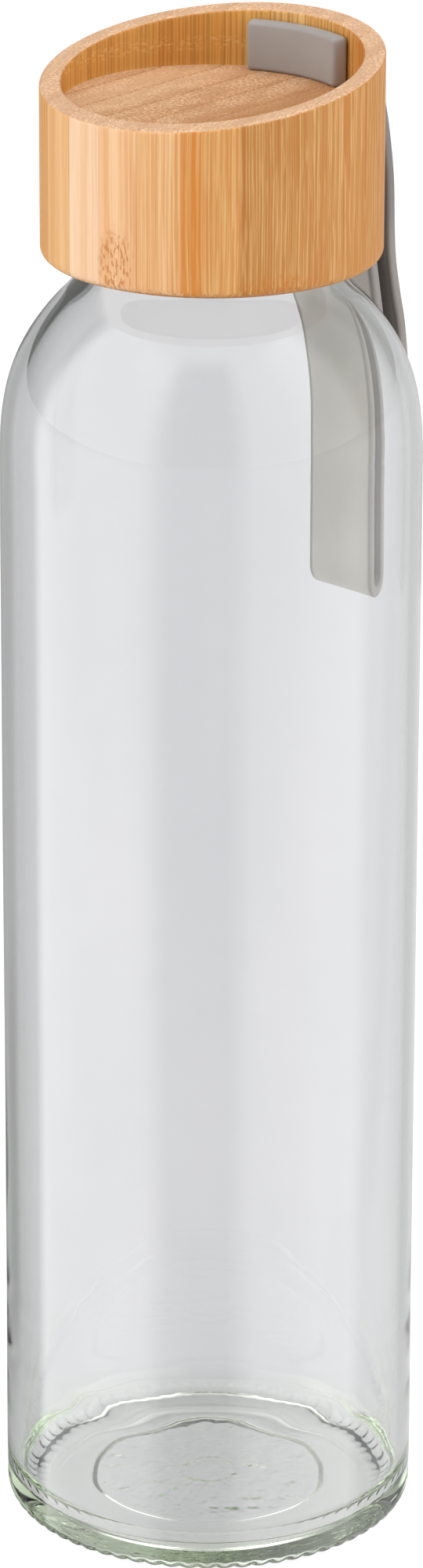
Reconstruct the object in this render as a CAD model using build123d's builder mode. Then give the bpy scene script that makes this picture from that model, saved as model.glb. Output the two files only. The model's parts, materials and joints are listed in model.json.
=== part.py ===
from build123d import *
from math import acos, degrees
import os

# Glass water bottle with a turned bamboo screw lid and a silicone carry strap.
# Millimetres, +Z up. The origin is on the bottle's axis, in the plane it stands on.
# The carry strap, and the high side of the lid's slanted rim, face +Y.

# ---- glass bottle ----
body_r = 32.5
wall = 2.3
shoulder_z = 179.4              # where the straight wall ends
shoulder_rx = 55.5              # half axes of the ellipse that the shoulder follows
shoulder_rz = 38.1
neck_r = 19.5
bore_r = 16.8
neck_blend_r = 2.5              # hollow between shoulder and neck
rim_z = 223.3
rim_round = 1.0
heel_r = 2.75
inner_heel_r = 4.0
ring_inner_r = 25.0             # bearing ring that the bottle stands on
panel_r = 18.4                  # pushed-up panel inside the ring
panel_z = 1.3
panel_step = 0.7
floor_z = 3.4                   # inside floor of the bottle
knurl_count = 68                # notches across the bearing ring, open to the heel
knurl_mid_r = 28.3
knurl_len = 4.6
knurl_width = 1.2
knurl_depth = 0.45

# ---- screw thread, right-hand, one start ----
thread_lead = 4.0
thread_height = 1.4
thread_root_w = 2.0
thread_crest_w = 0.8
thread_sink = 0.3               # how far a ridge reaches into the wall that carries it
thread_gap = 0.4                # radial play between a crest and the wall it faces
neck_thread_z = 211.0
neck_thread_turns = 1.5
insert_thread_z = neck_thread_z + thread_lead / 2
insert_thread_turns = 1.5

# ---- plastic insert and seal ----
seal = 2.0
seal_r = 20.9
seal_hole_r = 17.2
seal_edge_r = 0.4
plate = 1.5
insert_r = 23.5
insert_bore_r = neck_r + thread_height + thread_gap
insert_bottom_z = 208.2
insert_lead_in = 0.8
seal_top_z = rim_z + seal
insert_top_z = seal_top_z + plate

# ---- bamboo lid ----
lid_r = 26.1
lid_bottom_z = 207.2
lid_edge_r = 1.5
rim_mid_z = 236.4               # height of the slanted rim on the axis
rim_slope = 8.9                 # degrees
rim_edge_r = 0.5
recess_r = 22.8
recess_z = 230.7                # flat floor of the recess
slot_w = 15.0
slot_h = 4.5
slot_z = 234.6
slot_corner_r = 0.6

# ---- carry strap ----
strap_w = 14.4
strap_t = 1.9
strap_edge_r = 0.4
leg_gap = 0.2                   # between the two legs inside the slot
head_inner_r = 20.1             # bar that keeps the strap from pulling through the slot
head_outer_r = 22.7
head_half_angle = 25.2
head_top_z = 238.4
head_edge_r = 0.8
knuckle_y = 28.6                # flex line of the strap, just outside the lid
knuckle_r = strap_t + leg_gap / 2
knuckle_gap = 0.3
leg_offset = (strap_t + leg_gap) / 2
glass_gap = 1.95                # between the hanging loop and the glass
loop_gap = 2.9                  # between the two hanging legs
loop_bottom_z = 144.3
inner_y = body_r + glass_gap + strap_t / 2
outer_y = inner_y + strap_t + loop_gap
bend_r = (outer_y - inner_y) / 2
bend_z = loop_bottom_z + strap_t / 2 + bend_r
leg_bend_r = 40.0               # where each leg turns to follow the lid and the shoulder


def shoulder_end(radius, inset=0.0):
    """Angle round the shoulder's ellipse, drawn inset, where it reaches this radius."""
    return degrees(acos((radius - body_r + shoulder_rx) / (shoulder_rx - inset)))


def thread_profile(outward):
    """Points of the ridge's cross-section, with its foot sunk in the wall."""
    foot = -thread_sink * outward
    crest = thread_height * outward
    return [
        (foot, -thread_root_w / 2),
        (foot, thread_root_w / 2),
        (crest, thread_crest_w / 2),
        (crest, -thread_crest_w / 2),
    ]


# ---- glass bottle: one lathed wall, the knurled foot and the neck's thread ----
with BuildPart() as glass_bottle:
    with BuildSketch(Plane.XZ):
        with BuildLine():
            Polyline(
                (0, floor_z),
                (0, panel_z),
                (panel_r, panel_z),
                (panel_r + panel_step, panel_z - panel_step),
                (ring_inner_r, 0),
                (body_r - heel_r, 0),
            )
            CenterArc((body_r - heel_r, heel_r), heel_r, -90, 90)
            Line((body_r, heel_r), (body_r, shoulder_z))
            shoulder = EllipticalCenterArc(
                (body_r - shoulder_rx, shoulder_z),
                shoulder_rx,
                shoulder_rz,
                start_angle=0,
                arc_size=shoulder_end(neck_r),
            )
            inside = EllipticalCenterArc(
                (body_r - shoulder_rx, shoulder_z),
                shoulder_rx - wall,
                shoulder_rz - wall,
                start_angle=0,
                arc_size=shoulder_end(bore_r, wall),
            )
            Polyline(shoulder @ 1, (neck_r, rim_z), (bore_r, rim_z), inside @ 1)
            Line((body_r - wall, shoulder_z), (body_r - wall, floor_z + inner_heel_r))
            CenterArc((body_r - wall - inner_heel_r, floor_z + inner_heel_r), inner_heel_r, 0, -90)
            Line((body_r - wall - inner_heel_r, floor_z), (0, floor_z))
        make_face()
    revolve(axis=Axis.Z)
    round_edges = glass_bottle.edges().filter_by(GeomType.CIRCLE)
    fillet(round_edges.filter_by_position(Axis.Z, rim_z, rim_z), rim_round)
    neck_root_z = (shoulder @ 1).Y
    fillet(round_edges.filter_by_position(Axis.Z, neck_root_z - 0.01, neck_root_z + 0.01), neck_blend_r)
    with PolarLocations(knurl_mid_r, knurl_count):
        Box(knurl_len, knurl_width, 2 * knurl_depth, mode=Mode.SUBTRACT)
    with BuildLine() as neck_helix:
        Helix(thread_lead, thread_lead * neck_thread_turns, neck_r, center=(0, 0, neck_thread_z))
    with BuildSketch(Plane(neck_helix.line @ 0, x_dir=(1, 0, 0), z_dir=neck_helix.line % 0)):
        with BuildLine():
            Polyline(*thread_profile(outward=1), close=True)
        make_face()
    sweep(path=neck_helix.line, is_frenet=True)

# ---- seal: flat silicone ring pressed on the glass rim ----
with BuildPart() as seal_ring:
    with BuildSketch(Plane.XY.offset(rim_z)):
        Circle(seal_r)
        Circle(seal_hole_r, mode=Mode.SUBTRACT)
    extrude(amount=seal)
    fillet(seal_ring.edges().filter_by(GeomType.CIRCLE), seal_edge_r)

# ---- threaded insert: plastic cup glued in the bamboo ----
with BuildPart() as threaded_insert:
    with BuildSketch(Plane.XY.offset(insert_bottom_z)):
        Circle(insert_r)
    extrude(amount=insert_top_z - insert_bottom_z)
    with BuildSketch(Plane.XY.offset(insert_bottom_z)):
        Circle(insert_bore_r)
    extrude(amount=seal_top_z - insert_bottom_z, mode=Mode.SUBTRACT)
    mouth = threaded_insert.faces().sort_by(Axis.Z)[0].edges().sort_by(SortBy.RADIUS)[0]
    chamfer(mouth, insert_lead_in)
    with BuildLine() as insert_helix:
        Helix(
            thread_lead,
            thread_lead * insert_thread_turns,
            insert_bore_r,
            center=(0, 0, insert_thread_z),
        )
    with BuildSketch(Plane(insert_helix.line @ 0, x_dir=(1, 0, 0), z_dir=insert_helix.line % 0)):
        with BuildLine():
            Polyline(*thread_profile(outward=-1), close=True)
        make_face()
    sweep(path=insert_helix.line, is_frenet=True)

# ---- bamboo lid: one turned block with a slanted rim, a recess and the strap's slot ----
with BuildPart() as bamboo_lid:
    with BuildSketch(Plane.XY.offset(lid_bottom_z)):
        Circle(lid_r)
    extrude(amount=2 * (rim_mid_z - lid_bottom_z))
    rim_plane = Plane((0, 0, rim_mid_z)).rotated((rim_slope, 0, 0))
    split(bisect_by=rim_plane, keep=Keep.BOTTOM)
    with BuildSketch(Plane.XY.offset(recess_z)):
        Circle(recess_r)
    extrude(amount=rim_mid_z, mode=Mode.SUBTRACT)
    with BuildSketch(Plane.XY.offset(lid_bottom_z)):
        Circle(insert_r)
    extrude(amount=insert_top_z - lid_bottom_z, mode=Mode.SUBTRACT)
    fillet(bamboo_lid.faces().sort_by(Axis.Z)[0].edges().sort_by(SortBy.RADIUS)[-1], lid_edge_r)
    fillet(bamboo_lid.faces().filter_by(rim_plane).edges(), rim_edge_r)
    with BuildSketch(Plane.XZ):
        with Locations((0, slot_z)):
            RectangleRounded(slot_w, slot_h, slot_corner_r)
    extrude(amount=-2 * lid_r, mode=Mode.SUBTRACT)

# ---- strap anchor: the bar in the recess and the two legs through the slot ----
with BuildPart() as strap_anchor:
    with BuildSketch(Plane.XY.offset(recess_z)):
        with BuildLine():
            near = CenterArc((0, 0), head_inner_r, 90 - head_half_angle, 2 * head_half_angle)
            far = CenterArc((0, 0), head_outer_r, 90 - head_half_angle, 2 * head_half_angle)
            Line(near @ 0, far @ 0)
            Line(near @ 1, far @ 1)
        make_face()
    extrude(amount=head_top_z - recess_z)
    fillet(strap_anchor.edges(), head_edge_r)
    leg_y0 = (head_inner_r + head_outer_r) / 2
    leg_y1 = knuckle_y - knuckle_r - knuckle_gap
    with Locations((0, leg_y0, slot_z - leg_offset), (0, leg_y0, slot_z + leg_offset)):
        Box(strap_w, leg_y1 - leg_y0, strap_t, align=(Align.CENTER, Align.MIN, Align.CENTER))

# ---- strap loop: the hanging loop, with its knuckle at the slot's mouth ----
with BuildPart() as strap_loop:
    with BuildSketch(Plane.YZ):
        with BuildLine():
            FilletPolyline(
                (knuckle_y + leg_offset, slot_z),
                (33.0, 223.5),
                (34.95, 212.0),
                (35.15, 201.5),
                (38.8, 187.0),
                (outer_y, 173.0),
                (outer_y, bend_z),
                radius=leg_bend_r,
            )
            CenterArc((inner_y + bend_r, bend_z), bend_r, 0, -180)
            FilletPolyline(
                (inner_y, bend_z),
                (inner_y, 176.5),
                (29.6, 205.5),
                (knuckle_y - leg_offset, slot_z),
                radius=leg_bend_r,
            )
        trace(line_width=strap_t)
        with Locations((knuckle_y, slot_z)):
            Circle(knuckle_r)
    extrude(amount=strap_w / 2, both=True)
    fillet(strap_loop.faces().filter_by(Axis.X).edges(), strap_edge_r)

os.makedirs("parts", exist_ok=True)

glass_bottle.part.label = "glass_bottle"
export_step(glass_bottle.part, "parts/glass_bottle.step")

seal_ring.part.label = "seal_ring"
export_step(seal_ring.part, "parts/seal_ring.step")

threaded_insert.part.label = "threaded_insert"
export_step(threaded_insert.part, "parts/threaded_insert.step")

bamboo_lid.part.label = "bamboo_lid"
export_step(bamboo_lid.part, "parts/bamboo_lid.step")

strap_anchor.part.label = "strap_anchor"
export_step(strap_anchor.part, "parts/strap_anchor.step")

strap_loop.part.label = "strap_loop"
export_step(strap_loop.part, "parts/strap_loop.step")
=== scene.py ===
import json
import math

import bpy
import numpy as np
from mathutils import Matrix, Vector, noise


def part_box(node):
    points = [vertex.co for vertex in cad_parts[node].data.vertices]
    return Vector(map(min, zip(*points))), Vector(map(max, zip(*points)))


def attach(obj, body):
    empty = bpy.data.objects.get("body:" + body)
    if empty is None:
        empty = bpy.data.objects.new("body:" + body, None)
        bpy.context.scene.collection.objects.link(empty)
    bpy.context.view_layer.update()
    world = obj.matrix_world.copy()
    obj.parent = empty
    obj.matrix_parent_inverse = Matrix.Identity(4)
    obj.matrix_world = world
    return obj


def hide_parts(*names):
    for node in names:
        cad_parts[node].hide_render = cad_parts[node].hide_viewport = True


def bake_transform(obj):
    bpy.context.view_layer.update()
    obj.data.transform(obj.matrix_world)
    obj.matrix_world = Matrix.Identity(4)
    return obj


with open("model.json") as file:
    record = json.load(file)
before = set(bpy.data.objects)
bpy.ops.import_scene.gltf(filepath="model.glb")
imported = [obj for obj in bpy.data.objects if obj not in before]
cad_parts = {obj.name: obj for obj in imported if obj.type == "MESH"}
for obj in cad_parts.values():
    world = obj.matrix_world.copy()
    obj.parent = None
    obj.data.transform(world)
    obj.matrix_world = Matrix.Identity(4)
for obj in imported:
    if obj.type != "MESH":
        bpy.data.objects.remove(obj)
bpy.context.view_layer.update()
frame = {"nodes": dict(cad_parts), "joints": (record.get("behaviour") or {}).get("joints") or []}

MM = 0.001

# ---------------------------------------------------------------- places from the frame
BODY_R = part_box("glass_bottle")[1].x / MM
RIM_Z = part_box("glass_bottle")[1].z / MM
LID_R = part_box("bamboo_lid")[1].x / MM
LID_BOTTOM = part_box("bamboo_lid")[0].z / MM
INSERT_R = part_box("threaded_insert")[1].x / MM
INSERT_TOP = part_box("threaded_insert")[1].z / MM
HEAD_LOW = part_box("strap_anchor")[0].z / MM
HEAD_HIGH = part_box("strap_anchor")[1].z / MM
STRAP_W = 2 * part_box("strap_loop")[1].x / MM
LOOP_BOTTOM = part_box("strap_loop")[0].z / MM
HINGE = next(j for j in frame["joints"] if j["name"] == "strap_swing")["pos_m"]
HINGE_Y = HINGE[1] / MM
HINGE_Z = HINGE[2] / MM

# ---------------------------------------------------------------- driving sizes, mm
WALL = 2.3
SHOULDER_Z = 179.4
SHOULDER_RX, SHOULDER_RZ = 55.5, 38.1   # half axes of the ellipse that the shoulder follows
NECK_R, BORE_R = 19.5, 16.8
THREAD_LEAD, THREAD_START, THREAD_TURNS, THREAD_H = 4.0, 211.0, 1.5, 1.4
THREAD_CLEAR_Z = 208.0          # below this the neck has no thread
HEEL_R, INNER_HEEL_R = 2.75, 5.2
RING_R = 25.0                   # inner edge of the ring that the bottle stands on
FLOOR_Z, PANEL_Z, PANEL_R = 3.4, 1.3, 18.4
RIM_ROUND = 1.0
FOOT_TOP_OUT, FOOT_TOP_IN = 40.0, 42.0  # how high the foot's bulge and ripple reach
KNURLS = 68
RIM_SLOPE = math.radians(8.9)
RIM_MID = 236.4                 # height of the slanted rim on the axis
RECESS_R, RECESS_Z = 22.8, HEAD_LOW
SLOT_W, SLOT_H = 15.0, 4.5
HEAD_INNER_R, HEAD_OUTER_R, HEAD_HALF_ANGLE = 20.1, 22.7, math.radians(25.2)
STRAP_T, LEG_GAP, LOOP_GAP = 1.9, 0.2, 2.9
STRAP_EDGE = 0.65               # rounding of the strap's long edges
LOOP_OUT = 41.15                # how far the hanging loop reaches from the bottle's axis
STRIP = 6.6                     # thickness of one bamboo lamination
CAM_AZ = math.radians(40.0)     # camera's way round from -Y, towards +X
TOWARD = (math.sin(CAM_AZ), -math.cos(CAM_AZ), 0.0)
BESIDE = (math.cos(CAM_AZ), math.sin(CAM_AZ), 0.0)


# ---------------------------------------------------------------- meshes
def mesh_object(name, verts, faces, material, sharp=40.0):
    """A smooth-shaded mesh from points in mm; edges sharper than `sharp` degrees stay crisp."""
    mesh = bpy.data.meshes.new(name)
    mesh.from_pydata([tuple(c * MM for c in v) for v in verts], [], faces)
    mesh.polygons.foreach_set("use_smooth", [True] * len(mesh.polygons))
    mesh.set_sharp_from_angle(angle=math.radians(sharp))
    mesh.materials.append(material)
    obj = bpy.data.objects.new(name, mesh)
    bpy.context.scene.collection.objects.link(obj)
    return obj


def arc(cx, cz, rx, rz, a0, a1, count):
    """Points round an ellipse's arc, ends included; angles in degrees."""
    angles = np.radians(np.linspace(a0, a1, count))
    return [(cx + rx * math.cos(a), cz + rz * math.sin(a)) for a in angles]


def line(p, q, count):
    """Evenly spaced points from p to q, both included."""
    return [(p[0] + (q[0] - p[0]) * t, p[1] + (q[1] - p[1]) * t) for t in np.linspace(0, 1, count)]


def joined(*runs):
    """One outline from several runs, leaving out points that repeat."""
    out = []
    for run in runs:
        for p in run:
            if not out or math.dist(p, out[-1]) > 1e-4:
                out.append(p)
    return out


def lathe(name, profile, steps, material, shape, sharp):
    """Turns an outline of (r, z) that starts and ends on the axis; shape moves (r, z, angle)."""
    verts, faces = [], []
    angles = [2 * math.pi * i / steps for i in range(steps)]
    inner = profile[1:-1]
    for r, z in inner:
        for a in angles:
            shaped_r, shaped_z = shape(r, z, a)
            verts.append((shaped_r * math.cos(a), shaped_r * math.sin(a), shaped_z))
    for k in range(len(inner) - 1):
        for i in range(steps):
            j = (i + 1) % steps
            faces.append((k * steps + i, k * steps + j, (k + 1) * steps + j, (k + 1) * steps + i))
    for ring, pole in ((0, profile[0]), (len(inner) - 1, profile[-1])):
        verts.append((0, 0, shape(0, pole[1], 0)[1]))
        tip = len(verts) - 1
        for i in range(steps):
            j = (i + 1) % steps
            a, b = ring * steps + i, ring * steps + j
            faces.append((tip, b, a) if ring == 0 else (tip, a, b))
    return mesh_object(name, verts, faces, material, sharp)


def smoothstep(lo, hi, x):
    t = min(1.0, max(0.0, (x - lo) / (hi - lo)))
    return t * t * (3 - 2 * t)


# ---------------------------------------------------------------- shader helpers
def rgb(r, g, b):
    """A colour given as it looks on a screen, 0 to 255, as the linear values a shader takes."""
    def lin(v):
        v /= 255
        return v / 12.92 if v <= 0.04045 else ((v + 0.055) / 1.055) ** 2.4
    return (lin(r), lin(g), lin(b), 1.0)


class Nodes:
    """Writes one node tree; each method adds a node and gives back its output."""

    def __init__(self, tree):
        self.tree = tree
        tree.nodes.clear()

    def new(self, kind, inputs=None, **settings):
        node = self.tree.nodes.new("ShaderNode" + kind)
        for key, value in settings.items():
            setattr(node, key, value)
        for key, value in (inputs or {}).items():
            self.put(node.inputs[key], value)
        return node

    def put(self, socket, value):
        if isinstance(value, bpy.types.NodeSocket):
            self.tree.links.new(value, socket)
        else:
            socket.default_value = value

    def math(self, operation, a, b=0.0):
        return self.new("Math", {0: a, 1: b}, operation=operation).outputs[0]

    def vector(self, operation, a, b=(0, 0, 0)):
        node = self.new("VectorMath", {0: a, 1: b}, operation=operation)
        return node.outputs["Value" if operation in ("DOT_PRODUCT", "LENGTH") else "Vector"]

    def times(self, *factors):
        """The product of two or more numbers or outputs."""
        product = factors[0]
        for factor in factors[1:]:
            product = self.math("MULTIPLY", product, factor)
        return product

    def distance(self, value, middle):
        """How far a number is from a middle value."""
        return self.math("ABSOLUTE", self.math("SUBTRACT", value, middle))

    def scaled(self, vector, x, y, z, shift=(0, 0, 0)):
        moved = self.vector("MULTIPLY", vector, (x, y, z))
        return self.vector("ADD", moved, shift) if any(shift) else moved

    def range(self, value, lo, hi, to_lo=0.0, to_hi=1.0):
        """A soft step from to_lo to to_hi as the value goes from lo to hi; lo may be the larger."""
        inputs = {0: value, 1: lo, 2: hi, 3: to_lo, 4: to_hi}
        return self.new("MapRange", inputs, interpolation_type="SMOOTHSTEP").outputs[0]

    def mix(self, factor, a, b, blend="MIX"):
        node = self.new("Mix", {0: factor, 6: a, 7: b}, data_type="RGBA", blend_type=blend)
        return node.outputs[2]

    def ramp(self, value, stops, interpolation="LINEAR"):
        node = self.new("ValToRGB", {0: value})
        node.color_ramp.interpolation = interpolation
        elements = node.color_ramp.elements
        while len(elements) < len(stops):
            elements.new(0.5)
        for element, (place, colour) in zip(elements, stops):
            element.position = place
            element.color = colour
        return node.outputs[0]

    def noise(self, vector, scale=1.0, detail=2.0, roughness=0.5, output=0):
        inputs = {"Vector": vector, "Scale": scale, "Detail": detail, "Roughness": roughness}
        return self.new("TexNoise", inputs).outputs[output]

    def bump(self, height, strength, distance):
        return self.new("Bump", {"Height": height, "Strength": strength, "Distance": distance}).outputs[0]


def material(name):
    mat = bpy.data.materials.new(name)
    mat.use_nodes = True
    return mat, Nodes(mat.node_tree)


def finish_material(nodes, surface, volume=None):
    out = nodes.new("OutputMaterial", {"Surface": surface})
    if volume is not None:
        nodes.put(out.inputs["Volume"], volume)


# ---------------------------------------------------------------- materials
def glass_material():
    """Clear soda-lime glass: faint grey-green tint that deepens where it is thick."""
    mat, n = material("clear_glass")
    place = n.new("TexCoord").outputs["Object"]
    streak = n.noise(n.scaled(place, 60.0, 60.0, 14.0), 1.0, 2.0)
    glass = n.new("BsdfPrincipled", {
        "Base Color": n.mix(n.range(streak, 0.3, 0.7), rgb(251, 252, 252), rgb(255, 255, 255)),
        "Roughness": 0.0,
        "IOR": 1.5,
        "Transmission Weight": 1.0,
    })
    lamp_light = n.new("BsdfTransparent", {"Color": rgb(252, 253, 252)}).outputs[0]
    by_lamps = n.new("LightPath").outputs["Is Shadow Ray"]
    surface = n.new("MixShader", {0: by_lamps, 1: glass.outputs[0], 2: lamp_light}).outputs[0]
    volume = n.new("VolumeAbsorption", {"Color": rgb(206, 226, 182), "Density": 20.0}).outputs[0]
    finish_material(n, surface, volume)
    return mat


def bamboo_material():
    """Laminated bamboo: strips stacked along X, fibres along Z, pores on the cut ends."""
    mat, n = material("bamboo")
    coords = n.new("TexCoord")
    place = n.vector("MULTIPLY", coords.outputs["Object"], (1000.0, 1000.0, 1000.0))
    x, _, z = n.new("SeparateXYZ", {0: place}).outputs
    facing = n.new("SeparateXYZ", {0: coords.outputs["Normal"]}).outputs["Z"]
    end_grain = n.range(n.math("ABSOLUTE", facing), 0.5, 0.8)
    column = n.math("DIVIDE", x, STRIP)
    inside = n.math("FRACT", column)
    to_joint = n.times(n.distance(n.math("FRACT", n.math("ADD", column, 0.5)), 0.5), STRIP)

    # fibres wander a little on their way up
    wander = n.noise(n.scaled(place, 0.12, 0.12, 0.05), 1.0, 2.0, output=1)
    wander = n.vector("SUBTRACT", wander, (0.5, 0.5, 0.5))
    grain = n.vector("ADD", place, n.scaled(wander, 0.6, 0.6, 0.0))
    fine = n.noise(n.scaled(grain, 3.6, 3.6, 0.014), 1.0, 2.0, 0.6)
    medium = n.noise(n.scaled(grain, 1.3, 1.3, 0.006, (5.0, 2.0, 0.0)), 1.0, 2.0)
    broad = n.noise(n.scaled(grain, 0.4, 0.4, 0.01, (1.0, 9.0, 0.0)), 1.0, 1.0)

    # the eight strips of the block, each with its own tone
    tones = [
        (0.0, rgb(226, 177, 120)), (0.125, rgb(222, 171, 112)), (0.25, rgb(235, 190, 136)),
        (0.375, rgb(245, 210, 174)), (0.5, rgb(242, 199, 154)), (0.625, rgb(234, 185, 132)),
        (0.75, rgb(223, 170, 106)), (0.875, rgb(196, 142, 76)),
    ]
    side = n.ramp(n.math("ADD", n.math("DIVIDE", column, 8.0), 0.5), tones, "CONSTANT")
    side = n.mix(n.range(broad, 0.35, 0.65, 0.0, 0.4), side, rgb(238, 214, 184), "MULTIPLY")
    lively = n.range(x, -3.0, 12.0, 0.16, 0.65)
    side = n.mix(n.range(medium, 0.42, 0.68, 0.0, 0.45), side, rgb(240, 218, 184), "MULTIPLY")
    dark = n.times(n.range(fine, 0.46, 0.62), lively)
    side = n.mix(dark, side, rgb(236, 206, 156), "MULTIPLY")
    pale = n.times(n.range(fine, 0.48, 0.34), lively, 0.4)
    side = n.mix(pale, side, rgb(248, 218, 164))

    # the culm's dense outer side has closer, more orange fibres
    dense = n.times(n.range(inside, 0.7, 1.0), n.range(fine, 0.4, 0.58), 0.25)
    side = n.mix(dense, side, rgb(204, 134, 56))
    thread = n.noise(n.scaled(grain, 2.8, 2.8, 0.008, (8.0, 1.0, 0.0)), 1.0, 1.0)
    cluster = n.times(n.range(n.distance(x, 14.3), 1.8, 0.9), n.range(thread, 0.44, 0.52, 0.15, 0.95))
    side = n.mix(cluster, side, rgb(212, 130, 48))

    # pale slivers where the cut runs along the fibres
    sliver = n.noise(n.scaled(grain, 2.2, 2.2, 0.1, (3.0, 3.0, 0.0)), 1.0, 1.0)
    sliver = n.times(n.range(sliver, 0.56, 0.68), n.range(x, 10.0, 20.0, 0.0, 0.3))
    side = n.mix(sliver, side, rgb(236, 190, 130))

    # two old nodes of the culm leave slanting dashes
    dash = n.noise(n.scaled(place, 2.3, 1.2, 0.75), 1.0, 2.0)
    node_a = n.scaled(n.vector("SUBTRACT", place, (3.0, -26.0, 211.5)), 0.26, 0.1, 0.15)
    node_b = n.scaled(n.vector("SUBTRACT", place, (23.0, -12.0, 208.6)), 0.1, 0.14, 0.4)
    near_a = n.range(n.vector("LENGTH", node_a), 1.0, 0.5)
    near_b = n.range(n.vector("LENGTH", node_b), 1.0, 0.4)
    marks = n.times(n.math("MAXIMUM", near_a, near_b), n.range(dash, 0.5, 0.6, 0.12, 0.8))
    side = n.mix(marks, side, rgb(192, 116, 44))

    # glue lines between the strips
    joint = n.times(n.range(to_joint, 0.22, 0.05), n.range(broad, 0.35, 0.6, 0.05, 0.28))
    side = n.mix(joint, side, rgb(176, 112, 52))

    # the turned wall of the recess is cut rougher and looks darker and browner, partly its own tone and
    # partly painted shade of the recess
    radius = n.vector("LENGTH", n.scaled(place, 1.0, 1.0, 0.0))
    bored = n.times(n.range(radius, 23.3, 22.95), n.range(z, 230.4, 230.9))
    # painted shade: the recess wall is multiplied darker and browner
    inner = n.mix(0.9, side, rgb(238, 220, 158), "MULTIPLY")
    inner = n.mix(n.range(thread, 0.46, 0.6, 0.0, 0.5), inner, rgb(150, 104, 38))
    chip = n.noise(n.scaled(place, 1.4, 1.4, 2.6), 1.0, 2.0)
    chips = n.times(n.range(n.distance(z, 234.2), 1.6, 0.4), n.range(chip, 0.5, 0.62, 0.0, 0.35))
    inner = n.mix(chips, inner, rgb(230, 188, 126))
    side = n.mix(bored, side, inner)

    # cut ends: pale bundles in a browner ground, in bands that follow the strips
    layout = {"Vector": n.scaled(grain, 1.7, 1.7, 0.0), "Scale": 1.0}
    cells = n.new("TexVoronoi", layout, voronoi_dimensions="2D")
    bundle = n.range(cells.outputs["Distance"], 0.2, 0.5)
    speck = n.noise(n.scaled(place, 2.4, 1.6, 0.0), 1.0, 3.0, 0.65)
    patch = n.noise(n.scaled(place, 0.3, 0.12, 0.0), 1.0, 2.0)
    ends = n.mix(bundle, rgb(236, 196, 158), rgb(212, 164, 120))
    ends = n.mix(n.range(speck, 0.46, 0.57, 0.0, 0.85), ends, rgb(174, 114, 68))
    ends = n.mix(n.range(patch, 0.42, 0.6, 0.0, 0.5), ends, rgb(176, 120, 76))
    ends = n.mix(n.range(inside, 0.5, 0.95, 0.0, 0.4), ends, rgb(236, 208, 172), "MULTIPLY")
    low = n.range(z, 231.5, 230.9)
    floor = n.mix(0.1, ends, rgb(250, 216, 168))
    floor = n.mix(n.range(x, 2.0, 10.0, 0.0, 0.7), floor, rgb(180, 122, 66))
    floor = n.mix(n.range(x, -3.0, -13.0, 0.0, 0.3), floor, rgb(238, 200, 160))
    ends = n.mix(low, n.mix(0.36, ends, rgb(244, 212, 178)), floor)
    seam = n.times(
        n.range(to_joint, 0.5, 0.1), n.range(speck, 0.4, 0.55, 0.1, 0.6), n.range(low, 0.0, 1.0, 0.3, 1.0))
    ends = n.mix(seam, ends, rgb(168, 112, 66))
    colour = n.mix(end_grain, side, ends)

    pores = n.math("SUBTRACT", 1.3, n.math("ADD", speck, n.times(bundle, 0.5)))
    relief = n.mix(end_grain, fine, pores)
    wood = n.new("BsdfPrincipled", {
        "Base Color": colour,
        "Roughness": n.range(fine, 0.3, 0.7, 0.5, 0.62),
        "Specular IOR Level": 0.35,
        "Normal": n.bump(relief, 0.6, 0.00016),
    })
    finish_material(n, wood.outputs[0])
    return mat


def silicone_material():
    """Warm grey silicone with a soft satin skin and a faint mould texture."""
    mat, n = material("strap_silicone")
    place = n.new("TexCoord").outputs["Object"]
    cloud = n.noise(n.scaled(place, 90.0, 90.0, 90.0), 1.0, 3.0)
    skin = n.noise(n.scaled(place, 5200.0, 5200.0, 5200.0), 1.0, 2.0)
    x, _, z = n.new("SeparateXYZ", {0: place}).outputs
    # painted light: the hanging part is made paler than the part at the lid, standing in for the light and
    # reflections it gets behind the glass
    colour = n.mix(n.range(z, 0.214, 0.196), rgb(160, 156, 153), rgb(212, 204, 198))
    # painted shade: darker between the two legs, where the ambient occlusion node finds the fold
    fold = n.new("AmbientOcclusion", {"Distance": 0.005}, samples=6, only_local=True).outputs["AO"]
    colour = n.mix(n.range(fold, 0.85, 0.5, 0.0, 0.85), colour, rgb(84, 78, 72))
    # painted shade: the strap's long side edges below the lid are darkened, as the side turned away from
    # the light
    edge = n.times(n.range(n.math("ABSOLUTE", x), 0.0061, 0.0067), n.range(z, 0.2315, 0.2295), 0.75)
    colour = n.mix(edge, colour, rgb(112, 106, 100))
    colour = n.mix(n.range(cloud, 0.3, 0.7), colour, rgb(242, 241, 240), "MULTIPLY")
    rubber = n.new("BsdfPrincipled", {
        "Base Color": colour,
        "Roughness": n.range(cloud, 0.3, 0.7, 0.46, 0.56),
        "Specular IOR Level": 0.4,
        "Sheen Weight": 0.15,
        "Sheen Roughness": 0.5,
        "Normal": n.bump(skin, 0.25, 0.00003),
    })
    finish_material(n, rubber.outputs[0])
    return mat


def insert_material():
    """Natural white moulded polypropylene."""
    mat, n = material("insert_plastic")
    place = n.new("TexCoord").outputs["Object"]
    flow = n.noise(n.scaled(place, 120.0, 120.0, 30.0), 1.0, 3.0)
    spark = n.noise(n.scaled(place, 3000.0, 3000.0, 3000.0), 1.0, 2.0)
    plastic = n.new("BsdfPrincipled", {
        "Base Color": n.mix(n.range(flow, 0.3, 0.7), rgb(232, 230, 222), rgb(240, 238, 232)),
        "Roughness": n.range(flow, 0.3, 0.7, 0.3, 0.42),
        "Subsurface Weight": 0.1,
        "Subsurface Radius": (0.002, 0.002, 0.0015),
        "Normal": n.bump(spark, 0.15, 0.00004),
    })
    finish_material(n, plastic.outputs[0])
    return mat


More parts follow.
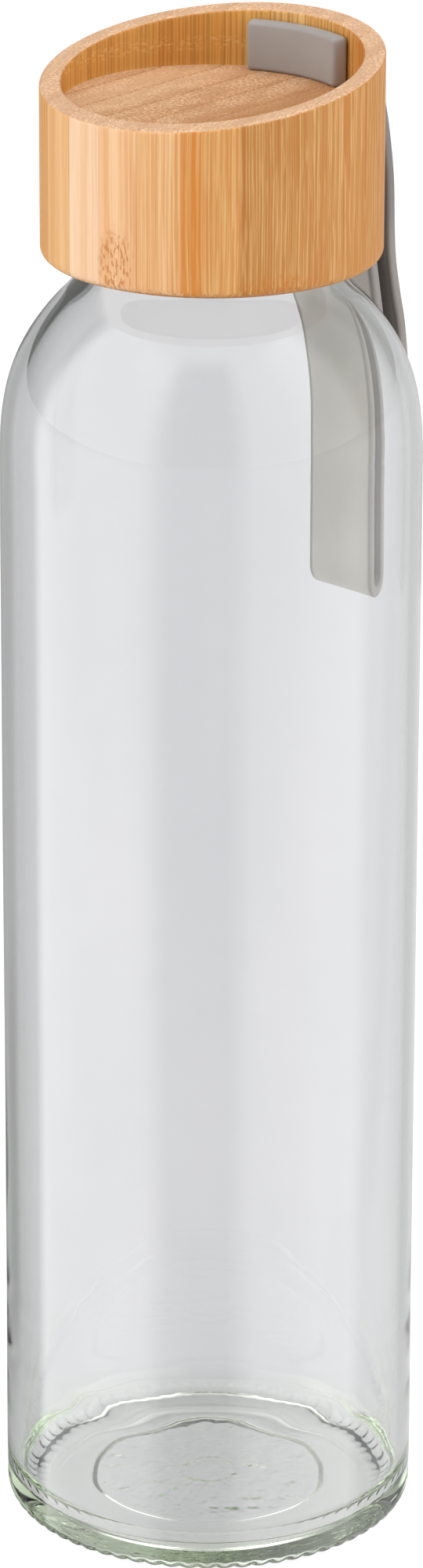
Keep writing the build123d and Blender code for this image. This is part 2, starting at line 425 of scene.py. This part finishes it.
def seal_material():
    """Translucent white silicone with a soft bloom."""
    mat, n = material("seal_silicone")
    place = n.new("TexCoord").outputs["Object"]
    bloom = n.noise(n.scaled(place, 400.0, 400.0, 400.0), 1.0, 3.0)
    rubber = n.new("BsdfPrincipled", {
        "Base Color": n.mix(n.range(bloom, 0.35, 0.65), rgb(224, 224, 220), rgb(236, 236, 232)),
        "Roughness": n.range(bloom, 0.35, 0.65, 0.35, 0.5),
        "Subsurface Weight": 0.2,
        "Subsurface Radius": (0.002, 0.002, 0.002),
        "Normal": n.bump(bloom, 0.1, 0.00005),
    })
    finish_material(n, rubber.outputs[0])
    return mat


# ---------------------------------------------------------------- glass bottle
def bottle_profile():
    """The glass wall's outline, from the middle of the base underneath to the inside floor."""
    centre_r = BODY_R - SHOULDER_RX
    outer_end = math.degrees(math.acos((NECK_R - centre_r) / SHOULDER_RX))
    inner_rx, inner_rz = SHOULDER_RX - WALL, SHOULDER_RZ - WALL
    inner_end = math.degrees(math.acos((BORE_R - centre_r) / inner_rx))
    shoulder = arc(centre_r, SHOULDER_Z, SHOULDER_RX, SHOULDER_RZ, 0, outer_end, 30)
    hollow = arc(centre_r, SHOULDER_Z, inner_rx, inner_rz, inner_end, 0, 26)
    in_r = BODY_R - WALL
    shoulder = blended(shoulder, (NECK_R, RIM_Z), 3.4)
    hollow = blended(hollow[::-1], (BORE_R, RIM_Z), 4.0)
    outside = eased(joined(line((BODY_R, FOOT_TOP_OUT), (BODY_R, SHOULDER_Z), 60), shoulder))
    inside = eased(joined(line((in_r, FOOT_TOP_IN), (in_r, SHOULDER_Z), 60), hollow))
    step, over, under = 0.5, 0.6, 0.8       # the S-curve at the panel's edge
    lip_z = RIM_Z - RIM_ROUND
    floor_r, corner_z = in_r - INNER_HEEL_R, FLOOR_Z + INNER_HEEL_R
    return joined(
        line((0, PANEL_Z), (PANEL_R - over, PANEL_Z), 44),
        arc(PANEL_R - over, PANEL_Z - step, over, step, 90, 0, 7),
        arc(PANEL_R + under, PANEL_Z - step, under, step, 180, 270, 7),
        line((PANEL_R + 1.1, PANEL_Z - 2 * step), (RING_R, 0.0), 10),
        line((RING_R, 0.0), (BODY_R - HEEL_R, 0.0), 20),
        arc(BODY_R - HEEL_R, HEEL_R, HEEL_R, HEEL_R, -90, 0, 18),
        line((BODY_R, HEEL_R), (BODY_R, 4.5), 12),
        line((BODY_R, 4.5), (BODY_R, FOOT_TOP_OUT), 16),
        outside,
        line(shoulder[-1], (NECK_R, lip_z), 76),
        arc(NECK_R - RIM_ROUND, lip_z, RIM_ROUND, RIM_ROUND, 0, 90, 7),
        arc(BORE_R + RIM_ROUND, lip_z, RIM_ROUND, RIM_ROUND, 90, 180, 7),
        line((BORE_R, lip_z), inside[-1], 8),
        inside[::-1],
        line((in_r, FOOT_TOP_IN), (in_r, corner_z), 34),
        arc(floor_r, corner_z, INNER_HEEL_R, INNER_HEEL_R, 0, -90, 18),
        line((floor_r, FLOOR_Z), (0, FLOOR_Z), 18),
    )


def eased(run):
    """Spreads the change of curvature where the straight wall turns into the shoulder."""
    heights, radii = [p[1] for p in run], [p[0] for p in run]
    out = []
    for r, z in run:
        reach = 6.0 * (1.0 - smoothstep(2.0, 20.0, abs(z - SHOULDER_Z)))
        around = z + np.linspace(-reach, reach, 15)
        out.append((float(np.mean(np.interp(around, heights, radii))), z))
    return out


def blended(run, goal, reach):
    """Ends a run of points with a soft curve that turns it into a straight line towards goal."""
    corner = run[-1]
    kept = [p for p in run if math.dist(p, corner) > reach]
    start, end = kept[-1], (corner[0], corner[1] + reach)
    before = kept[-2]
    slope = (start[1] - before[1]) / (start[0] - before[0])
    bend = (goal[0], start[1] + slope * (goal[0] - start[0]))
    curve = [
        tuple((1 - t) ** 2 * a + 2 * t * (1 - t) * b + t * t * c for a, b, c in zip(start, bend, end))
        for t in np.linspace(0, 1, 14)
    ]
    return kept + curve[1:]


def thread_height(angle, z):
    """How far the neck's thread stands out at this place; it runs out smoothly at both ends."""
    best = 0.0
    first, last = -0.06, THREAD_TURNS + 0.06    # turns; the ridge runs out over 0.1 turn
    for turn in range(-1, 3):
        travel = turn + angle / (2 * math.pi)
        if first < travel < last:
            offset = abs(z - THREAD_START - THREAD_LEAD * travel)
            rise = 1.0 - smoothstep(0.35, 1.05, offset)
            run_out = smoothstep(first, first + 0.1, travel) * smoothstep(last, last - 0.1, travel)
            best = max(best, rise * run_out)
    return THREAD_H * best


def glass_shape(r, z, a):
    """Thread, knurled foot and the small unevenness of blown glass."""
    in_r = BODY_R - WALL
    if abs(r - NECK_R) < 0.02 and z > THREAD_CLEAR_Z:
        r += thread_height(a, z)
    elif z < 2.2 and 25.3 < r:      # knurls across the bearing ring and up the heel
        notch = 1.0 - smoothstep(0.1, 0.95, abs(math.sin(a * KNURLS / 2)))
        z += 0.035 * notch * smoothstep(25.5, 26.5, r) * smoothstep(29.5, 28.0, r)
        scallop = 0.3 * notch * smoothstep(29.6, 30.6, r) * smoothstep(2.2, 1.0, z)
        r, z = r - 0.6 * scallop, z + 0.8 * scallop
    elif FOOT_TOP_OUT <= z and r > BODY_R - 0.01:
        drift = noise.noise(Vector((math.cos(a) * 1.6, math.sin(a) * 1.6, z * 0.022)))
        r += 0.05 * drift * smoothstep(FOOT_TOP_OUT, 60.0, z) * smoothstep(SHOULDER_Z, 165.0, z)
    elif HEEL_R < z < FOOT_TOP_OUT and r > BODY_R - 0.01:     # slight bulge, mould's parting ridge
        r += 0.08 * smoothstep(HEEL_R, 10.0, z) * smoothstep(FOOT_TOP_OUT, 12.0, z)
        r += 0.035 * math.exp(-((z - HEEL_R - 0.5) / 0.25) ** 2)
    elif z < FOOT_TOP_IN and abs(r - in_r) < 0.01:
        wave = math.sin(z * 0.55 + 0.5 * math.sin(2 * a + 0.6))
        wave += 0.5 * math.sin(z * 1.1 + 1.3 * math.sin(a))
        r -= 0.025 * smoothstep(FOOT_TOP_IN, 30.0, z) * (1.0 + wave)
    elif FLOOR_Z - 0.1 < z < FLOOR_Z + INNER_HEEL_R and r < in_r - 0.02:
        hump = noise.noise(Vector((r * math.cos(a) * 0.14, r * math.sin(a) * 0.14, 4.0)))
        z += 0.1 * hump * smoothstep(28.0, 20.0, r) + 0.35 * smoothstep(22.0, 0.0, r)
    elif PANEL_Z - 0.05 < z < PANEL_Z + 0.4 and r < PANEL_R + 0.3:
        z += base_relief(r * math.cos(a), r * math.sin(a))
    return r, z


def base_relief(x, y):
    """Underside of the base: a plain ring, three plain dots and the mould's faint ripple."""
    ring = math.hypot(x, y)
    relief = -0.12 * math.exp(-((ring - 4.2) / 0.4) ** 2)
    for k in (-1, 0, 1):
        dot = Vector(TOWARD) * 12.5 + Vector(BESIDE) * (3.2 * k + 4.0)
        relief -= 0.25 * math.exp(-(((x - dot.x) ** 2 + (y - dot.y) ** 2) / 0.7))
    ripple = noise.noise(Vector((x * 0.35, y * 0.35, 1.0)))
    ripple += 0.5 * noise.noise(Vector((x * 0.9, y * 0.9, 2.0)))
    edge = smoothstep(PANEL_R - 0.4, PANEL_R - 2.0, ring)
    return (relief + 0.11 * ripple) * edge


# ---------------------------------------------------------------- bamboo lid
def lid_profile(angle):
    """The lid's outline at one angle: the rim's height follows the slanted cut."""
    def rim(r):
        return RIM_MID + r * math.sin(angle) * math.tan(RIM_SLOPE)

    edge, foot, mouth, corner = 0.5, 1.5, 0.4, 0.15     # roundings and the bore's chamfer
    top_out, top_in = rim(LID_R) - edge, rim(RECESS_R) - edge
    return joined(
        line((0, INSERT_TOP), (INSERT_R, INSERT_TOP), 6),
        line((INSERT_R, INSERT_TOP), (INSERT_R, LID_BOTTOM + mouth), 6),
        line((INSERT_R, LID_BOTTOM + mouth), (INSERT_R + mouth, LID_BOTTOM), 3),
        arc(LID_R - foot, LID_BOTTOM + foot, foot, foot, -90, 0, 9),
        line((LID_R, LID_BOTTOM + foot), (LID_R, top_out), 26),
        arc(LID_R - edge, top_out, edge, edge, 0, 90, 6)[:-1],
        line((LID_R - edge, rim(LID_R - edge)), (RECESS_R + edge, rim(RECESS_R + edge)), 7),
        arc(RECESS_R + edge, top_in, edge, edge, 90, 180, 6)[1:],
        line((RECESS_R, top_in), (RECESS_R, RECESS_Z + corner), 9),
        arc(RECESS_R - corner, RECESS_Z + corner, corner, corner, 0, -90, 3),
        line((RECESS_R - corner, RECESS_Z), (0, RECESS_Z), 12),
    )


def bamboo_lid(wood):
    """The turned block, with the strap's slot cut through the high side."""
    steps = 240
    profiles = [lid_profile(2 * math.pi * i / steps) for i in range(steps)]
    # lathe() gets each point's number for its height, and shape() looks the height up
    numbered = [(r, k) for k, (r, _) in enumerate(profiles[0])]

    def shape(r, k, a):
        i = round(a / (2 * math.pi) * steps) % steps
        return r, profiles[i][k][1]

    lid = lathe("lid_bamboo", numbered, steps, wood, shape, sharp=35.0)
    section = rounded_section(SLOT_W, SLOT_H, 1.2, 6)
    ends = (RECESS_R - 4.0, LID_R + 3.0)
    cutter = swept("slot_cutter", [[(u, y, HINGE_Z + v) for u, v in section] for y in ends], wood)
    cut = lid.modifiers.new("slot", "BOOLEAN")
    cut.operation, cut.solver, cut.object = "DIFFERENCE", "EXACT", cutter
    apply_modifiers(lid, sharp=35.0)
    bpy.data.objects.remove(cutter)
    return lid


def apply_modifiers(obj, sharp):
    """Bakes an object's modifiers into its mesh and marks the crisp edges again."""
    evaluated = obj.evaluated_get(bpy.context.evaluated_depsgraph_get())
    mesh = bpy.data.meshes.new_from_object(evaluated)
    old, obj.data = obj.data, mesh
    obj.modifiers.clear()
    bpy.data.meshes.remove(old)
    mesh.polygons.foreach_set("use_smooth", [True] * len(mesh.polygons))
    mesh.set_sharp_from_angle(angle=math.radians(sharp))


def rounded_section(width, height, corner, count=5):
    """Points round a rectangle with round corners, in (u, v), starting at its lower right."""
    corner = min(corner, width / 2, height / 2)
    points = []
    across, up = width / 2 - corner, height / 2 - corner
    for cx, cy, a0 in ((1, -1, -90), (1, 1, 0), (-1, 1, 90), (-1, -1, 180)):
        points += arc(cx * across, cy * up, corner, corner, a0, a0 + 90, count)
    return points


def swept(name, stations, material):
    """A closed skin through sections: each station is a list of the same number of 3-D points."""
    count = len(stations[0])
    verts = [p for station in stations for p in station]
    faces = []
    for k in range(len(stations) - 1):
        for i in range(count):
            j = (i + 1) % count
            faces.append((k * count + i, k * count + j, (k + 1) * count + j, (k + 1) * count + i))
    faces.append(tuple(reversed(range(count))))
    faces.append(tuple(range((len(stations) - 1) * count, len(stations) * count)))
    return mesh_object(name, verts, faces, material)


# ---------------------------------------------------------------- strap
def rounded_ends(half, edge, count, between=()):
    """Places along a bar from -half to half, closer together where its ends are rounded."""
    places = [half - edge + edge * math.sin(t) for t in np.linspace(0, math.pi / 2, count)]
    return [-s for s in reversed(places)] + list(between) + places


def end_inset(place, half, edge):
    """How far a section shrinks on each side where the bar's end is rounded."""
    over = max(0.0, abs(place) - (half - edge))
    return edge - math.sqrt(max(edge ** 2 - over ** 2, 0.0))


def strap_head(rubber):
    """The bar that stops the strap in the recess, curved with the recess's wall."""
    edge = 0.75
    mid_r, depth = (HEAD_INNER_R + HEAD_OUTER_R) / 2, HEAD_OUTER_R - HEAD_INNER_R
    mid_z, tall = (HEAD_LOW + HEAD_HIGH) / 2, HEAD_HIGH - HEAD_LOW
    half = mid_r * HEAD_HALF_ANGLE
    between = list(np.linspace(-half + edge, half - edge, 40)[1:-1])
    stations = []
    for s in rounded_ends(half, edge, 7, between):
        inset = end_inset(s, half, edge)
        section = rounded_section(depth - 2 * inset, tall - 2 * inset, edge, 6)
        turn = math.pi / 2 - s / mid_r
        stations.append([
            ((mid_r + u) * math.cos(turn), (mid_r + u) * math.sin(turn), mid_z + v) for u, v in section])
    return swept("strap_bar", stations, rubber)


def strap_legs(name, rubber, y0, y1, count):
    """The two flat legs, one over the other, between two distances from the axis."""
    verts, faces = [], []
    for side in (1, -1):
        z = HINGE_Z + side * (STRAP_T + LEG_GAP) / 2
        section = rounded_section(STRAP_W, STRAP_T, 0.5, 4)
        base = len(verts)
        size = len(section)
        for y in np.linspace(y0, y1, count):
            verts += [(u, y, z + v) for u, v in section]
        for k in range(count - 1):
            for i in range(size):
                j = (i + 1) % size
                a, b = base + k * size + i, base + k * size + j
                faces.append((a, a + size, b + size, b))
        faces.append(tuple(range(base, base + size)))
        faces.append(tuple(reversed(range(base + (count - 1) * size, base + count * size))))
    return mesh_object(name, verts, faces, rubber)


def smooth_route(points, count):
    """A smooth curve through given points (Catmull-Rom), evenly divided."""
    pts = [np.array(points[0], float) * 2 - np.array(points[1], float)]
    pts += [np.array(p, float) for p in points]
    pts.append(pts[-1] * 2 - pts[-2])
    out = []
    for i in range(1, len(pts) - 2):
        a, b, c, d = pts[i - 1:i + 3]
        for t in np.linspace(0, 1, count, endpoint=False):
            square, cube = 2 * a - 5 * b + 4 * c - d, 3 * b - a - 3 * c + d
            out.append(0.5 * (2 * b + (c - a) * t + square * t**2 + cube * t**3))
    out.append(pts[-2])
    return out


def strap_loop(rubber):
    """The hanging loop: down the outer leg, round the fold and up the inner leg."""
    outer_y = LOOP_OUT - STRAP_T / 2
    inner_y = outer_y - STRAP_T - LOOP_GAP
    fold_r = (outer_y - inner_y) / 2
    fold_z = LOOP_BOTTOM + STRAP_T / 2 + fold_r
    leg = (STRAP_T + LEG_GAP) / 2
    down = smooth_route([
        (HINGE_Y + leg, HINGE_Z), (32.55, 224.8), (33.85, 218.8), (34.75, 212.5), (35.1, 204.5),
        (35.55, 199.5), (36.7, 194.0), (37.8, 189.6), (38.6, 184.5), (39.4, 178.0),
        (outer_y - 0.15, 168.0), (outer_y, fold_z)], 8)
    fold = [np.array(p) for p in arc((outer_y + inner_y) / 2, fold_z, fold_r, fold_r, 0, -180, 16)[1:]]
    up = smooth_route([
        (inner_y, fold_z), (inner_y - 0.15, 170.0), (34.9, 177.5), (33.8, 184.5), (32.4, 191.7),
        (30.9, 199.3), (29.5, 207.0), (28.3, 220.0), (HINGE_Y - leg, HINGE_Z)], 8)[1:]
    route = down + fold + up
    section = rounded_section(STRAP_W, STRAP_T, STRAP_EDGE, 5)
    stations = []
    for k, p in enumerate(route):
        ahead, behind = route[min(k + 1, len(route) - 1)], route[max(k - 1, 0)]
        along = (ahead - behind) / np.linalg.norm(ahead - behind)
        side = np.array([-along[1], along[0]])
        stations.append([(u, p[0] + side[0] * v, p[1] + side[1] * v) for u, v in section])
    return swept("strap_band", stations, rubber)


def strap_knuckle(rubber):
    """The round fold where the two legs leave the slot, turning with the loop."""
    radius = STRAP_T + LEG_GAP / 2
    stations = []
    for x in rounded_ends(STRAP_W / 2, STRAP_EDGE, 6):
        r = radius - end_inset(x, STRAP_W / 2, STRAP_EDGE)
        circle = arc(0, 0, r, r, 0, 360, 33)[:-1]
        stations.append([(x, HINGE_Y + u, HINGE_Z + v) for u, v in circle])
    return swept("strap_fold", stations, rubber)


# ---------------------------------------------------------------- stage, light, camera
def floor_material():
    """Pale matt paint on a light table, lifted to white where the camera sees it straight on."""
    mat, n = material("pale_floor")
    place = n.new("TexCoord").outputs["Object"]
    grain = n.noise(place, 60.0, 2.0)
    paint = n.new("BsdfPrincipled", {
        "Base Color": n.mix(n.range(grain, 0.3, 0.7), rgb(149, 149, 153), rgb(151, 151, 155)),
        "Roughness": 0.7,
        "Specular IOR Level": 0.2,
        "Emission Color": rgb(253, 249, 255),
        "Emission Strength": 0.365,
    }).outputs[0]
    lift = n.new("Emission", {"Color": (1.0, 1.0, 1.0, 1.0), "Strength": 0.4}).outputs[0]
    lifted = n.new("AddShader", {0: paint, 1: lift}).outputs[0]
    # the table darkens off to both sides, which only shows in the clear edges of the glass
    beside = n.vector("DOT_PRODUCT", place, BESIDE)
    behind = n.vector("DOT_PRODUCT", place, tuple(-c for c in TOWARD))
    off = n.math("MAXIMUM", n.math("SUBTRACT", n.math("ABSOLUTE", beside), 0.028), 0.0)
    spread = n.math("DIVIDE", off, n.math("ADD", n.math("MAXIMUM", behind, 0.0), 0.02))
    near = n.range(behind, 0.25, 0.15)
    left = n.times(n.range(beside, 0.01, -0.01), n.range(behind, 0.25, 0.15, 0.3, 0.42))
    right = n.range(beside, -0.01, 0.01, 0.0, 0.12)
    wedge = n.times(n.range(spread, 0.13, 0.42), n.range(spread, 0.95, 0.5))
    dim = n.times(n.math("ADD", left, right), wedge, n.range(behind, 0.0, 0.07))
    leafy = n.mix(near, rgb(140, 140, 146), rgb(84, 120, 68))
    dusk = n.new("Emission", {"Color": leafy, "Strength": 0.3}).outputs[0]
    aside = n.new("MixShader", {0: dim, 1: paint, 2: dusk}).outputs[0]
    straight = n.new("LightPath").outputs["Is Camera Ray"]
    finish_material(n, n.new("MixShader", {0: straight, 1: aside, 2: lifted}).outputs[0])
    return mat


def stage():
    """A pale floor that only plain sight, shadows and glass see, so that it adds no glare."""
    mesh = bpy.data.meshes.new("floor")
    side, z = 6.0, -0.0003
    corners = [(-side, -side, z), (side, -side, z), (side, side, z), (-side, side, z)]
    mesh.from_pydata(corners, [], [(0, 1, 2, 3)])
    mesh.materials.append(floor_material())
    floor = bpy.data.objects.new("floor", mesh)
    bpy.context.scene.collection.objects.link(floor)
    floor.visible_glossy = False


def studio():
    """Soft boxes round the object, painted on the sky, which itself looks plain white."""
    world = bpy.data.worlds.new("studio")
    bpy.context.scene.world = world
    world.use_nodes = True
    n = Nodes(world.node_tree)
    ray = n.new("TexCoord").outputs["Generated"]
    across, ahead = n.vector("DOT_PRODUCT", ray, BESIDE), n.vector("DOT_PRODUCT", ray, TOWARD)
    place = n.math("ADD", n.math("DIVIDE", n.math("ARCTAN2", across, ahead), 2 * math.pi), 0.5)

    def at(degrees, level):
        """A panel's brightness at a direction, in degrees round from the camera's."""
        return (degrees / 360 + 0.5, (level / 3, level / 3, level / 3, 1.0))

    panels = n.ramp(place, [
        at(-180, 0.4), at(-165, 0.12), at(-113, 0.12), at(-105, 1.9), at(-50, 2.1), at(-37, 1.9),
        at(-24, 0.5), at(-8, 0.3), at(10, 0.3), at(24, 1.5), at(50, 1.75), at(64, 2.15),
        at(86, 2.15), at(97, 1.1), at(125, 0.75), at(140, 0.35), at(165, 0.5),
    ])
    height = n.new("SeparateXYZ", {0: ray}).outputs["Z"]
    light = n.mix(n.range(height, 0.8, 0.92), panels, (0.48, 0.48, 0.48, 1.0))
    strength = n.range(height, 0.0, -0.08, 3.0, 4.5)
    sky = n.new("Background", {"Color": light, "Strength": strength}).outputs[0]
    plain = n.new("Background", {"Color": (1.0, 1.0, 1.0, 1.0), "Strength": 1.0}).outputs[0]
    straight = n.new("LightPath").outputs["Is Camera Ray"]
    seen = n.new("MixShader", {0: straight, 1: sky, 2: plain}).outputs[0]
    n.new("OutputWorld", {"Surface": seen})


def camera():
    """The view from the front right, a little above."""
    data = bpy.data.cameras.new("camera")
    data.sensor_width = 36.0
    data.lens = 149.75
    data.shift_x, data.shift_y = 0.0008, -0.0031
    data.clip_start, data.clip_end = 0.05, 30.0
    cam = bpy.data.objects.new("camera", data)
    bpy.context.scene.collection.objects.link(cam)
    away, high, tilt = 0.955147, 0.476708, math.radians(20.37)
    cam.location = (away * math.sin(CAM_AZ), -away * math.cos(CAM_AZ), high)
    aim = Matrix.Rotation(CAM_AZ, 3, "Z") @ Matrix.Rotation(math.pi / 2 - tilt, 3, "X")
    cam.rotation_euler = (aim @ Matrix.Rotation(math.radians(0.17), 3, "Z")).to_euler()
    bpy.context.scene.camera = cam


# ---------------------------------------------------------------- putting it together
def dress(node, mat):
    """Gives a CAD node that keeps its own mesh a finished material."""
    obj = frame["nodes"][node]
    for slot in obj.material_slots:
        slot.material = mat


def main():
    scene = bpy.context.scene
    scene.view_settings.view_transform = "Standard"
    # light runs a long way inside the glass base before it comes out again
    scene.cycles.max_bounces = scene.cycles.transmission_bounces = 20
    scene.cycles.glossy_bounces = 14
    scene.cycles.transparent_max_bounces = 16
    camera()
    stage()
    studio()
    glass, wood, rubber = glass_material(), bamboo_material(), silicone_material()

    bottle = lathe("bottle_glass", bottle_profile(), KNURLS * 5, glass, glass_shape, sharp=60.0)
    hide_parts("glass_bottle")
    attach(bottle, "bottle")

    lid = bamboo_lid(wood)
    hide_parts("bamboo_lid")
    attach(lid, "lid")

    bar = strap_head(rubber)
    legs = strap_legs("strap_legs", rubber, 21.4, 25.4, 4)
    for piece in (bar, legs):
        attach(piece, "lid")
    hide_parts("strap_anchor")

    bend = strap_legs("strap_bend", rubber, 25.2, HINGE_Y, 24)
    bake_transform(bend)

    band = strap_loop(rubber)
    fold = strap_knuckle(rubber)
    for piece in (band, fold):
        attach(piece, "strap")
    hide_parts("strap_loop")

    dress("threaded_insert", insert_material())
    dress("seal_ring", seal_material())


main()
